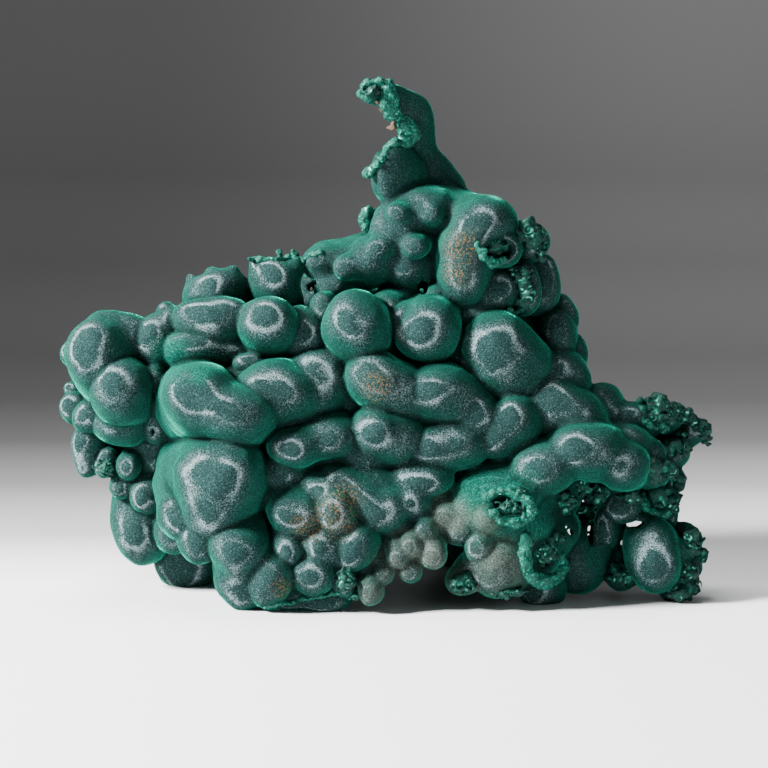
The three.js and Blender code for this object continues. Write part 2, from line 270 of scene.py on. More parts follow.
# Crusty curls: x and the height seen from the show side, half width, half height, the size of a
# curl, and how far back the crust is where it stands clear of the stone.
CRUSTS = (
    (91, 66, 5, 6, 2.0, -12), (95, 63.5, 3, 3, 1.6, -10), (97, 66, 4, 3, 1.6, -9),
    (101, 64.5, 3.5, 2.4, 1.4, -7), (104.5, 62, 3, 2.4, 1.4, -6), (107.5, 59.5, 2.6, 3.2, 1.5, -6),
    (109, 56, 1.6, 2.4, 1.2, -5), (100.5, 57, 3, 2.6, 1.5, -9), (97, 53, 5, 4, 1.9, -10),
    (101, 53, 2.4, 3, 1.3, -10), (89.5, 45.5, 4.6, 4.8, 2.4, -18), (95, 46, 3.4, 3, 1.6, -13),
    (98, 42.5, 3.6, 3.8, 1.9, -11), (94, 37, 5.5, 4.6, 2.2, -14), (96.5, 33.5, 2.2, 3, 1.4, -13),
    (103, 24, 4, 3, 1.8, -20), (102.5, 20, 3.2, 3, 1.6, -21), (106, 17.5, 2.5, 2.6, 1.4, -21),
    (101.5, 12.5, 3.5, 3.8, 1.8, -22), (99.5, 6.5, 4.6, 4, 2.1, -23), (104, 7, 2.2, 3.5, 1.4, -23),
    (80, 11, 6, 4, 1.8, -22), (37, 121, 6.5, 5.8, 1.9, -22), (48.5, 124, 5, 5.5, 2.2, -14),
    (52, 120, 2.6, 4, 1.6, -12), (46.5, 107, 3.2, 7.8, 1.7, -17), (44, 112, 2.6, 3, 1.4, -18),
    (41, 34, 6, 3.4, 1.3, -40), (53, 19, 4.6, 5.6, 1.4, -42), (57.5, 24, 2.6, 2.6, 1.3, -40),
    (45, 39.5, 2.6, 1.8, 1.1, -41), (-4.6, 172.3, 2.8, 2.4, 1.3, -10), (-12.5, 10.5, 3.4, 4.4, 1.6, -46),
    (-9, 6.5, 3.4, 2.4, 1.3, -46), (26, 9.5, 5, 3.6, 1.6, -43), (40, 6.5, 6, 2, 1.3, -40),
    (66, 40, 6, 4, 1.6, -22), (74, 38, 5, 4, 1.5, -20), (70, 32, 7, 4, 1.7, -14),
    (60, 36, 4, 5, 1.5, -20), (82, 37, 4, 3, 1.5, -15), (70, 37, 3, 3, 1.4, -12),
    (-94, 47, 3.6, 3, 1.4, -12),
)

# Broken fibrous rims: the same two coordinates along the rim, then its half thickness.
RIMS = (
    ((-1, 175, 1.7), (1.5, 173.5, 2.4), (0.8, 170, 2.6), (2, 167, 2.6), (4.8, 163.6, 2.6),
     (8, 160.6, 2.8), (8.6, 157, 2.7), (6.4, 155, 2.0)),
    ((-7, 173.5, 1.7), (-4.6, 175, 1.7), (-1, 175, 1.7)),
    ((-7.4, 171.5, 1.6), (-5.6, 170, 1.3)),
    ((5, 155, 1.4), (1.5, 154, 1.6), (0.5, 151, 1.3), (-1.5, 148.5, 1.3), (-5.5, 145.2, 1.9)),
    ((-45, 117, 0.9), (-40, 116.4, 0.9), (-35, 117, 1.0), (-31, 117.4, 0.9), (-27, 116.6, 0.9)),
    ((-35, 117.5, 1.1), (-35, 119, 1.0)), ((-30, 118, 1.1), (-30.5, 119.5, 0.9)),
    ((-27, 116.6, 0.9), (-24, 118, 0.9), (-21, 119, 0.9)),
    ((-39, 1.6, 0.9), (-33, 3, 0.8), (-27, 4, 1.0), (-20, 5.2, 0.8), (-15, 6.5, 0.9), (-11, 5, 0.7)),
    ((-6.5, 128.6, 1.6), (-6, 131, 1.8), (-5, 133.6, 1.3)),
    ((34, 37, 1.4), (36, 39.5, 1.5), (40, 40, 1.5), (44, 38.5, 1.5), (48, 36.5, 1.6),
     (48.5, 33, 1.5), (45, 30.5, 1.7), (41.5, 29.5, 2.0), (38, 30.5, 1.6), (35.5, 33, 1.3)),
    ((46.5, 24, 1.9), (45.8, 20, 2.0), (46.5, 15.5, 2.2), (49, 11.5, 2.3), (53, 9.8, 2.4),
     (57, 11.2, 2.3), (59.8, 14.5, 2.1), (58.5, 18, 1.3)),
    ((31, 121, 1.4), (32.5, 117, 1.6), (36, 115, 1.5), (40, 116, 1.2)),
    ((41, 99.5, 1.2), (44, 98.5, 1.3), (48, 101, 1.1)),
    ((85.5, 70, 0.9), (85.5, 66, 1.2), (87.5, 62, 1.3), (91, 60.3, 1.0)),
    ((93, 61.5, 1.7), (95, 59.8, 1.7)),
    ((86.3, 38, 1.0), (86.8, 34.5, 1.6), (89, 31.8, 1.9), (92.5, 31.2, 1.7), (95.5, 33, 1.2)),
)

# Openings right through the stone: the same two coordinates, half width and half height.
OPENINGS = (
    (60.6, 27.4, 1.0, 1.2), (61.6, 26.2, 1.0, 1.4), (62.3, 25.2, 0.8, 1.3), (69.6, 28.2, 1.5, 1.3),
    (69.2, 26.4, 1.1, 2.0), (69, 24.2, 0.7, 1.8), (82.6, 27.9, 1.5, 1.4), (84.4, 28.3, 2.0, 1.6),
    (86, 28.6, 1.3, 1.0), (13, 107, 0.9, 1.4), (-25, 107.6, 1.3, 1.6), (-23.6, 108.6, 1.1, 1.2),
    (-77, 59, 0.9, 1.6),
)

# Stubby fingers: the same two coordinates of both ends, the radius and the depth.
FINGERS = (
    (-64.5, 103, -65, 111, 1.9, -6), (-58.5, 103, -58, 112, 2.9, -6), (-50, 104, -50.3, 113, 2.8, -6),
    (-72, 97, -74, 100, 2.2, -8), (-100, 56, -100.3, 46, 3.4, -9), (20, 139, 17, 146, 3.5, 2),
    (-93, 51, -94.5, 46, 3.0, -12), (57.5, 20, 56, 42, 3.0, -8), (65, 16, 66, 42, 1.7, -2),
    (74, 26, 73, 44, 4.2, -10), (78, 28, 79, 44, 3.4, -12), (78, 10, 74, 24, 3.6, -12),
    (92, 24, 93, 38, 3.0, -12), (-41, 106, -43, 115, 3.2, -8), (-33, 106, -30, 115, 3.4, -8),
)

# Rusty crumbs: the same two coordinates, then the radius of the patch.
CRUMBS = ((-2.5, 170.5, 2.6), (-1, 168, 2.2), (3.2, 160.5, 1.2))


# ---- noise and blending ----
def between_cells(values, base, part):
    """The value at each base cell plus a part of the way to the next, on a repeating lattice."""
    total = 0.0
    for corner in np.ndindex(2, 2, 2):
        x, y, z = np.moveaxis((base + corner) % values.shape, -1, 0)
        total = total + np.prod(np.where(corner, part, 1 - part), axis=-1) * values[x, y, z]
    return total


class LatticeNoise:
    """Smooth repeatable noise from -1 to 1 on a repeating lattice of random values."""

    def __init__(self, cells=24):
        self.values = rng.uniform(-1, 1, (cells, cells, cells)).astype(np.float32)

    def at(self, points, wavelength):
        scaled = points / wavelength
        base = np.floor(scaled).astype(int)
        part = scaled - base
        return between_cells(self.values, base, part * part * (3 - 2 * part))


def blend_union(first, second, blend):
    """The lesser of two distances, rounded where they are nearly the same."""
    share = np.clip(0.5 + 0.5 * (second - first) / blend, 0, 1)
    return second * (1 - share) + first * share - blend * share * (1 - share)


def smooth_step(low, high, value):
    share = np.clip((value - low) / (high - low), 0, 1)
    return share * share * (3 - 2 * share)


def unit(vectors):
    return vectors / np.maximum(np.linalg.norm(vectors, axis=-1, keepdims=True), 1e-9)


# ---- growth directions ----
def growth_direction(points):
    """The way out from the nearest point of the growth lines."""
    away = []
    for line in GROWTH_LINES:
        for start, end in zip(line, line[1:]):
            start = np.array(start, float)
            run = np.array(end, float) - start
            share = np.clip((points - start) @ run / (run @ run), 0, 1)
            away.append(points - (start + share[..., None] * run))
    away = np.array(away)
    nearest = np.linalg.norm(away, axis=-1).argmin(axis=0)
    return unit(np.take_along_axis(away, nearest[None, ..., None], axis=0)[0])


# ---- the field of distances ----
class Field:
    """Signed distances on an even grid, in millimetres, negative inside."""

    def __init__(self, low, high, step):
        self.low = np.array(low, float)
        self.step = step
        shape = np.ceil((np.array(high, float) - self.low) / step).astype(int) + 1
        self.values = np.full(shape, FAR, np.float32)

    def window(self, centre, reach):
        """The slices of the grid within reach of centre, and the offsets from centre there."""
        first = np.floor((centre - reach - self.low) / self.step).astype(int)
        last = np.ceil((centre + reach - self.low) / self.step).astype(int) + 1
        first = np.clip(first, 0, self.values.shape)
        last = np.clip(last, 0, self.values.shape)
        slices = tuple(slice(a, b) for a, b in zip(first, last))
        offsets = []
        for axis in range(3):
            line = self.low[axis] + self.step * np.arange(first[axis], last[axis]) - centre[axis]
            shape = [1, 1, 1]
            shape[axis] = -1
            offsets.append(line.astype(np.float32).reshape(shape))
        return slices, offsets

    def sample(self, points):
        scaled = (points - self.low) / self.step
        top = np.array(self.values.shape) - 1.001
        scaled = np.clip(scaled, 0, top)
        base = np.floor(scaled).astype(int)
        return between_cells(self.values, base, scaled - base)

    def slope(self, points, reach):
        """The gradient, and the mean rise above the middle: positive on bulges."""
        middle = self.sample(points)
        slope = np.zeros_like(points)
        rise = np.zeros(len(points))
        for axis in range(3):
            offset = np.zeros(3)
            offset[axis] = reach
            ahead = self.sample(points + offset)
            behind = self.sample(points - offset)
            slope[:, axis] = (ahead - behind) / (2 * reach)
            rise += (ahead + behind - 2 * middle) / 6
        return slope, rise

    def roughen(self, noise, wavelength, height):
        near = np.abs(self.values) < BAND + height
        spots = np.argwhere(near) * self.step + self.low
        self.values[near] += (height * noise.at(spots, wavelength)).astype(np.float32)

    def skin(self):
        """The surface as points in millimetres and four-sided faces."""
        grid = openvdb.FloatGrid(BAND)
        grid.copyFromArray(np.clip(self.values, -BAND, BAND).astype(np.float32))
        points, faces = grid.convertToQuads(0.0)
        return points * self.step + self.low, faces[:, ::-1]


def lobe_axes(outward, roll_degrees):
    reference = np.array([0, 1, 0]) if abs(outward[2]) > 0.95 else np.array([0, 0, 1])
    across = unit(np.cross(outward, reference))
    upward = np.cross(across, outward)
    roll = math.radians(roll_degrees)
    return (across * math.cos(roll) + upward * math.sin(roll), outward,
            upward * math.cos(roll) - across * math.sin(roll))


def lobe_distance(offsets, axes, half_width, half_height, cap=CAP_BULGE, stem_length=STEM_LENGTH):
    """Distance to a round-ended column, whose round end is centred on the offsets' zero."""
    half_width *= LOBE_SWELL
    half_height *= LOBE_SWELL
    mean_radius = (half_width + half_height) / 2
    side, ahead, up = (offsets[0] * a[0] + offsets[1] * a[1] + offsets[2] * a[2] for a in axes)
    around = np.sqrt((side / half_width) ** 2 + (up / half_height) ** 2)
    stem = np.minimum(ahead + stem_length * mean_radius, 0)
    along = np.abs(np.where(ahead > 0, ahead, stem)) / (cap * mean_radius)
    size = (around ** LOBE_SQUARENESS + along ** LOBE_SQUARENESS) ** (1 / LOBE_SQUARENESS)
    return ((size - 1) * mean_radius).astype(np.float32)


def ellipsoid_distance(offsets, radii):
    size = np.sqrt(sum((offset / radius) ** 2 for offset, radius in zip(offsets, radii)))
    return ((size - 1) * min(radii)).astype(np.float32)


def bulges_of(row, outward):
    """A lobe's own row, and for a large lobe a low bulge that makes it less regular."""
    x, y, z, half_width, half_height = row[:5]
    roll = row[5] if len(row) > 5 else 0
    rows = [(np.array([x, y, z], float), half_width, half_height, roll)]
    mean_radius = (half_width + half_height) / 2
    if mean_radius < LEAST_UNEVEN:
        return rows
    across, _, upward = lobe_axes(outward, roll)
    turn = rng.uniform(0, 2 * math.pi)
    offset = across * math.cos(turn) * half_width + upward * math.sin(turn) * half_height
    size = rng.uniform(0.6, 0.72)
    centre = rows[0][0] + offset * rng.uniform(0.3, 0.4) + outward * mean_radius * 0.08
    rows.append((centre, half_width * size, half_height * size, roll))
    return rows


def add_compound_lobe(field, rows, outward=None, crevice=CREVICE_BLEND, **profile):
    placed = []
    for row in rows:
        point = np.array(row[:3], float)
        direction = growth_direction(point) if outward is None else outward
        placed += [(bulge, direction) for bulge in bulges_of(row, direction)]
    centres = np.array([bulge[0] for bulge, _ in placed])
    reach = max(max(bulge[1], bulge[2]) for bulge, _ in placed) * (1 + STEM_LENGTH) + 6
    low = np.maximum(centres.min(axis=0) - reach, field.low)
    high = centres.max(axis=0) + reach
    low = field.low + np.floor((low - field.low) / field.step) * field.step
    patch = Field(low, high, field.step)
    melt = LOBE_BLEND if len(rows) > 1 else LOBE_BLEND / 2
    for (centre, half_width, half_height, roll), direction in placed:
        slices, offsets = patch.window(centre, reach)
        axes = lobe_axes(direction, roll)
        part = lobe_distance(offsets, axes, half_width, half_height, **profile)
        patch.values[slices] = blend_union(patch.values[slices], part, melt)
    first = np.round((low - field.low) / field.step).astype(int)
    last = np.minimum(first + patch.values.shape, field.values.shape)
    slices = tuple(slice(a, b) for a, b in zip(first, last))
    inner = tuple(slice(0, b - a) for a, b in zip(first, last))
    field.values[slices] = blend_union(field.values[slices], patch.values[inner], crevice)


# ---- the stone ----
def spiral_lobes(mass, mass_index):
    """Lobes on an even spiral over the back, the top and the ends of a mass."""
    centre = np.array(mass[:3], float)
    radii = np.array(mass[3:], float)
    count = round(4 * math.pi * radii.mean() ** 2 / BACK_SPACING ** 2)
    lobes = []
    for i in range(count):
        up = 1 - 2 * (i + 0.5) / count
        turn = GOLDEN_TURN * i + mass_index
        flat = math.sqrt(1 - up * up)
        way = np.array([flat * math.cos(turn), flat * math.sin(turn), up])
        on_face = centre + way * radii
        outward = unit(way / radii)
        hidden = any(
            np.linalg.norm((on_face - np.array(other[:3])) / np.array(other[3:])) < 1
            for other in MASSES if other != mass
        )
        under_overhang = on_face[0] > 46 and on_face[2] < 36
        over_right_slope = on_face[0] + 0.9 * on_face[2] > 113 and on_face[2] < 125
        in_front = outward[1] < -0.15
        underneath = up < -0.8
        if hidden or under_overhang or over_right_slope or in_front or underneath:
            continue
        radius = BACK_SIZE * (0.55 + 0.75 * abs(math.sin(7 * i + mass_index)))
        spot = on_face - BACK_SINK * outward
        neighbour = spot + rng.normal(0, 0.35, 3) * radius
        rows = [(*spot, radius, radius * 0.85), (*neighbour, radius * 0.8, radius * 0.75)]
        lobes.append((rows, outward))
    return lobes


def stone_field():
    field = Field(GRID_LOW, GRID_HIGH, STEP)
    for mass in MASSES:
        centre = np.array(mass[:3], float)
        slices, offsets = field.window(centre, max(mass[3:]) + 8)
        part = ellipsoid_distance(offsets, mass[3:])
        field.values[slices] = blend_union(field.values[slices], part, MASS_BLEND)
    for table in (LEFT_CLUSTER, UPPER_RIDGE, GREAT_LOBE, FRONT_FOOT, MIDDLE_LOBES,
                  TOP_RIGHT, RIGHT_SIDE, CANOPY, BACK_LOBES):
        for rows in table:
            add_compound_lobe(field, rows)
    for rows in RIGHT_FEET:
        add_compound_lobe(field, rows, stem_length=SHORT_STEM)
    for rows in SPIRE:
        add_compound_lobe(field, rows, unit(SPIRE_FACING), crevice=SPIRE_BLEND, cap=0.45,
                          stem_length=SHORT_STEM)
    for rows in HEART_LOBE:
        add_compound_lobe(field, rows, crevice=HEART_BLEND)
    for table in (APRON, RIGHT_SLOPE, RIGHT_LOBES, UPPER_BODY):
        for rows in table:
            add_compound_lobe(field, rows, crevice=SOFT_BLEND)
    for rows in FEET:
        add_compound_lobe(field, rows, outward=np.array([0, 0, -1.0]))
    for index, mass in enumerate(MASSES):
        for rows, outward in spiral_lobes(mass, index):
            add_compound_lobe(field, rows, outward=outward, crevice=BACK_BLEND)
    for finger in FINGERS:
        add_finger(field, finger)
    for pocket in POCKETS:
        slices, offsets = field.window(np.array(pocket[:3], float), max(pocket[3:]) + 3)
        hollow = ellipsoid_distance(offsets, pocket[3:])
        field.values[slices] = -blend_union(-field.values[slices], hollow, POCKET_BLEND)
    for opening in OPENINGS:
        cut_opening(field, opening)
    return field


def cut_opening(field, opening):
    """Cuts an oval tunnel along the line of sight of the show side."""
    x, seen_height, half_width, half_height = opening
    middle = np.array([x, 0, height_of(seen_height, 0)])
    slices, offsets = field.window(middle, 90)
    near_slices, near_offsets = field.window(middle, half_width + BAND)
    slices = (near_slices[0], slices[1], slices[2])
    fall = offsets[2] + math.tan(VIEW_ELEVATION) * offsets[1]
    tunnel = np.sqrt((near_offsets[0] / half_width) ** 2 + (fall / half_height) ** 2) - 1
    tunnel = (tunnel * half_width).astype(np.float32)
    field.values[slices] = np.maximum(field.values[slices], -tunnel)


def height_of(seen_height, y):
    """The true height of a point at depth y that is seen at seen_height from the show side."""
    rise = math.sin(VIEW_ELEVATION) * (y - FRONT_Y)
    return (seen_height - rise) / math.cos(VIEW_ELEVATION)


def on_show_side(field, x, seen_height, clear_y):
    """The first point of the stone on a sight line, or the sight line's own point at clear_y."""
    y = np.arange(field.low[1] + 2, SIGHT_END, SIGHT_STEP)
    line = np.stack([np.full_like(y, x), y, height_of(seen_height, y)], axis=1)
    hits = np.flatnonzero(field.sample(line) < TOUCHING)
    if len(hits) and line[hits[0], 1] < clear_y + MOST_BEHIND:
        return line[hits[0]]
    return np.array([x, clear_y, height_of(seen_height, clear_y)])


def ball_distance(offsets, radius):
    return np.sqrt(sum(offset ** 2 for offset in offsets)) - radius


def add_ball(field, centre, radius, blend=0.4):
    slices, offsets = field.window(centre, radius + 2)
    field.values[slices] = blend_union(field.values[slices], ball_distance(offsets, radius), blend)


def add_cup(field, centre, radius, way):
    slices, offsets = field.window(centre, radius + 2)
    mouth = [offset - 0.62 * radius * share for offset, share in zip(offsets, way)]
    part = np.maximum(ball_distance(offsets, radius), -ball_distance(mouth, 0.8 * radius))
    field.values[slices] = blend_union(field.values[slices], part, 0.3)


def add_finger(field, finger):
    start_x, start_height, end_x, end_height, radius, y = finger
    for share in np.linspace(0, 1, 7):
        x = start_x + share * (end_x - start_x)
        height = start_height + share * (end_height - start_height)
        wobble = 0.12 * radius * math.sin(5 * share + start_x)
        middle = np.array([x + wobble, y, height_of(height, y)])
        add_ball(field, middle, radius * (1 - 0.12 * share), blend=1.5)


def fine_field(centre, reach):
    """An empty field of the finer spacing around one spot."""
    return Field(np.array(centre) - reach, np.array(centre) + reach, FINE_STEP)


def skin_above_floor(field):
    """The surface, cut off level where the specimen stands."""
    heights = field.low[2] + field.step * np.arange(field.values.shape[2])
    field.values = np.maximum(field.values, -heights.astype(np.float32))
    return field.skin()


def crust_skin(stone_values, row, noise):
    x, height, half_width, half_height, curl, clear_y = row
    middle = on_show_side(stone_values, x, height, clear_y)
    radii = np.array([half_width, min(half_width, half_height) * 0.8, half_height])
    field = fine_field(middle, radii + 2 * curl + 1.5)
    slices, offsets = field.window(middle, max(radii) + 2)
    core = radii * 0.55
    field.values[slices] = ellipsoid_distance(offsets, core)
    spots = np.indices(field.values.shape).reshape(3, -1).T * field.step + field.low
    sheets = np.abs(noise.at(spots, 1.5 * curl)).reshape(field.values.shape) * 1.7 * curl - 0.5
    ragged = 0.8 * noise.at(spots + 40, 1.2 * curl).reshape(field.values.shape)
    size = np.full(field.values.shape, FAR, np.float32)
    size[slices] = ellipsoid_distance(offsets, radii)
    plates = np.maximum(sheets, size + ragged).astype(np.float32)
    field.values = np.minimum(field.values, plates)
    count = round(1.1 * half_width * half_height / curl ** 2) + 2
    for _ in range(count):
        way = unit(rng.normal(0, 1, 3) + np.array([-0.1, -0.7, 0.1]))
        spot = middle + way * radii * rng.uniform(0.55, 0.95)
        radius = curl * rng.uniform(0.6, 1.3)
        if rng.uniform() < 0.75:
            add_cup(field, spot, radius, unit(way + rng.normal(0, 0.4, 3)))
        else:
            add_ball(field, spot, radius * 0.7)
    field.roughen(noise, 1.3, 0.15)
    return skin_above_floor(field)


def rim_skin(stone_values, row, noise):
    spots = []
    for (x, height, radius), (next_x, next_height, next_radius) in zip(row, row[1:]):
        steps = max(2, round(math.hypot(next_x - x, next_height - height) / 0.9))
        for share in np.linspace(0, 1, steps, endpoint=False):
            spots.append((x + share * (next_x - x), height + share * (next_height - height),
                          radius + share * (next_radius - radius)))
    spots.append(row[-1])
    depth = None
    balls = []
    for x, height, radius in spots:
        spot = on_show_side(stone_values, x, height, RIM_DEPTH if depth is None else depth)
        depth = spot[1] if depth is None else 0.6 * depth + 0.4 * spot[1]
        spot[1] = depth
        balls.append((spot + rng.normal(0, 0.18, 3) * radius, radius * rng.uniform(0.75, 1.2)))
    centres = np.array([centre for centre, _ in balls])
    margin = 5
    field = Field(centres.min(axis=0) - margin, centres.max(axis=0) + margin, FINE_STEP)
    for centre, radius in balls:
        add_ball(field, centre, radius)
    field.roughen(noise, 1.9, 0.5)
    field.roughen(noise, 0.9, 0.35)
    return skin_above_floor(field)


def joined(skins):
    """All the skins as one list of points and one of faces."""
    points, faces, start = [], [], 0
    for skin_points, skin_faces in skins:
        points.append(skin_points)
        faces.append(skin_faces + start)
        start += len(skin_points)
    return np.concatenate(points), np.concatenate(faces)


def paint_crust(piece):
    """Stores how far each point stands out of its surroundings, for the crust's colour: paler on sharp
    edges, partly as a painted highlight, and darker in hollows as painted shade.
    """
    mesh = piece.data
    normals = np.empty(len(mesh.vertices) * 3, np.float32)
    mesh.vertices.foreach_get("normal", normals)
    normals = normals.reshape(-1, 3)
    points = vertices_of(piece)
    pairs = np.empty(len(mesh.edges) * 2, np.int32)
    mesh.edges.foreach_get("vertices", pairs)
    a, b = pairs.reshape(-1, 2).T
    run = points[b] - points[a]
    length = np.maximum(np.linalg.norm(run, axis=1), 1e-6)
    bend = ((normals[b] - normals[a]) * run).sum(axis=1) / length ** 2
    here, there = np.concatenate((a, b)), np.concatenate((b, a))
    edges = np.bincount(here, minlength=len(points))
    bend = np.bincount(here, np.concatenate((bend, bend)), len(points)) / np.maximum(edges, 1)
    for _ in range(2):
        bend = (bend + np.bincount(here, bend[there], len(points))) / (edges + 1)
    set_attribute(piece, "edge", smooth_step(-0.4, 1.7, bend))


def crusty_piece(name, skins):
    piece = mesh_object(name, *joined(skins))
    thin_out(piece)
    paint_crust(piece)
    return piece


def make_crumbs(stone_values, noise):
    skins = []
    for x, height, radius in CRUMBS:
        middle = on_show_side(stone_values, x, height, CRUMB_DEPTH)
        field = fine_field(middle, radius + 3)
        for _ in range(14):
            add_ball(field, middle + rng.normal(0, 0.45, 3) * radius, rng.uniform(0.4, 0.9))
        field.roughen(noise, 0.9, 0.25)
        skins.append(field.skin())
    return mesh_object("limonite_crumbs", *joined(skins))


def new_object(name, data):
    thing = bpy.data.objects.new(name, data)
    bpy.context.scene.collection.objects.link(thing)
    return thing


def mesh_object(name, points, faces):
    mesh = bpy.data.meshes.new(name)
    mesh.vertices.add(len(points))
    mesh.vertices.foreach_set("co", ((points + SHIFT) * MM).astype(np.float32).ravel())
    corners = faces.shape[1]
    mesh.loops.add(faces.size)
    mesh.loops.foreach_set("vertex_index", faces.astype(np.int32).ravel())
    mesh.polygons.add(len(faces))
    mesh.polygons.foreach_set("loop_start", np.arange(0, faces.size, corners, dtype=np.int32))
    mesh.polygons.foreach_set("use_smooth", np.full(len(faces), True))
    mesh.update()
    mesh.validate()
    return new_object(name, mesh)


def largest_skin(points, faces):
    """Drops sealed hollows and specks: only the one outer skin is kept."""
    leader = np.arange(len(points))
    while True:
        low = leader[faces].min(axis=1)
        newer = leader.copy()
        np.minimum.at(newer, faces.ravel(), np.repeat(low, faces.shape[1]))
        newer = newer[newer]
        if np.array_equal(newer, leader):
            break
        leader = newer
    names, counts = np.unique(leader, return_counts=True)
    kept = leader == names[counts.argmax()]
    number = np.cumsum(kept) - 1
    return points[kept], number[faces[kept[faces[:, 0]]]]


def thin_out(piece):
    triangles = sum(len(face.vertices) - 2 for face in piece.data.polygons)
    if triangles <= MOST_TRIANGLES:
        return
    modifier = piece.modifiers.new("thin out", "DECIMATE")
    modifier.ratio = MOST_TRIANGLES / triangles
    bpy.context.view_layer.objects.active = piece
    piece.select_set(True)
    bpy.ops.object.modifier_apply(modifier=modifier.name)
    piece.select_set(False)


def vertices_of(piece):
    """A piece's points in the growth table's millimetres."""
    points = np.empty(len(piece.data.vertices) * 3, np.float32)
    piece.data.vertices.foreach_get("co", points)
    return points.reshape(-1, 3).astype(float) / MM - SHIFT


def spots_share(points, spots, show_depth=0):
    """How much each point is inside the round spots of the show side, from 0 to 1."""
    share = np.zeros(len(points))
    for x, z, radius in spots:
        gap = np.hypot(points[:, 0] - x, points[:, 2] - z)
        share = np.maximum(share, smooth_step(radius * 1.25, radius * 0.35, gap))
    return share * smooth_step(show_depth, show_depth - 12, points[:, 1])


def set_attribute(piece, name, values):
    attribute = piece.data.attributes.new(name, "FLOAT", "POINT")
    attribute.data.foreach_set("value", values.astype(np.float32))


def paint_stone(piece, field):
    """Stores what the stone's material needs to know about each point of its surface."""
    points = vertices_of(piece)
    slope, rise = field.slope(points, 1.6)
    normals = unit(slope)
    outward = growth_direction(points)
    facing = smooth_step(-0.15, 0.5, -outward[:, 1])
    # The ring's axis leans towards the way between the camera and the key light on the show side, so the
    # painted highlight sits where the real one falls.
    ring_axis = unit(0.45 * outward + facing[:, None] * 1.3 * LIGHT_SIDE)
    cosine = np.clip((normals * ring_axis).sum(axis=1), -1, 1)
    set_attribute(piece, "highlight_ring_angle", np.degrees(np.arccos(cosine)))
    set_attribute(piece, "bulge", rise)
    hollow = np.full(len(points), FAR)
    for pocket in POCKETS:
        hollow = np.minimum(hollow, ellipsoid_distance((points - pocket[:3]).T, pocket[3:]))
    # Painted shade: the insides of pockets and the shadow spots are darkened.
    shadow_share = spots_share(points, PAINTED_SHADOW_SPOTS, show_depth=40)
    set_attribute(piece, "hollow", np.maximum(smooth_step(1.5, 0.3, hollow), shadow_share))
    plain = spots_share(points, PLAIN_SPOTS, show_depth=30)
    faint = 0.65 * spots_share(points, FAINT_SPOTS, show_depth=30)
    set_attribute(piece, "plain", np.maximum(plain, faint))
    set_attribute(piece, "hood", spots_share(points, HOOD_SPOTS))
    set_attribute(piece, "rust", spots_share(points, RUST_SPOTS))
    set_attribute(piece, "grey", spots_share(points, GREY_SPOTS))


def make_stone():
    field = stone_field()
    noise = LatticeNoise()
    for wavelength, height in COARSE_BUMPS:
        field.roughen(noise, wavelength, height)
    smooth_field = Field(field.low, field.low, field.step)
    smooth_field.values = field.values.copy()
    field.roughen(noise, *FINE_BUMPS)
    points, faces = largest_skin(*skin_above_floor(field))
    piece = mesh_object("malachite_stone", points, faces)
    thin_out(piece)
    paint_stone(piece, smooth_field)
    return piece, smooth_field, noise


# ---- materials ----
# Colours, as linear shares of red, green and blue. A lobe's top and flank vary between two each.
TOP_COLOURS = ((0.0048, 0.0168, 0.0155), (0.0105, 0.0285, 0.0265))
FLANK_COLOURS = ((0.0010, 0.0165, 0.0118), (0.0032, 0.047, 0.0335))
# Painted highlight: the pale colour of the ring where the velvet fibres catch the key light.
RING_HIGHLIGHT_COLOUR = (0.115, 0.160, 0.166)
HOOD_COLOUR = (0.0015, 0.042, 0.029)
HOOD_STRIPE = (0.014, 0.11, 0.083)
SHEEN_COLOUR = (0.02, 0.6, 0.38)
# Painted shade: the near-black green that creases, pockets and shaded spots are darkened towards.
PAINTED_SHADE_COLOUR = (0.0006, 0.010, 0.007)
RUST_COLOUR = (0.11, 0.06, 0.02)
GREY_COLOUR = (0.045, 0.055, 0.045)
CRUMB_COLOURS = ((0.012, 0.0065, 0.003), (0.075, 0.04, 0.018))
# Deep, bright and pale: deep is the crust's dark green, deepened in hollows as painted shade; pale is
# partly the fibres' own pale green and partly a painted highlight on the sharpest edges.
CRUST_COLOURS = ((0.0014, 0.021, 0.015), (0.007, 0.14, 0.096), (0.20, 0.60, 0.46))
FIBRE_COLOURS = ((0.002, 0.05, 0.034), (0.014, 0.32, 0.215), (0.42, 0.85, 0.68))
BLACK = (0, 0, 0)
WHITE = (1, 1, 1)

# Where the painted highlight ring begins, is strongest and ends, and where its halo ends, in degrees from
# the way that the rings face.
RING_START, RING_PEAK, RING_END, HALO_END = 20, 28, 37, 58


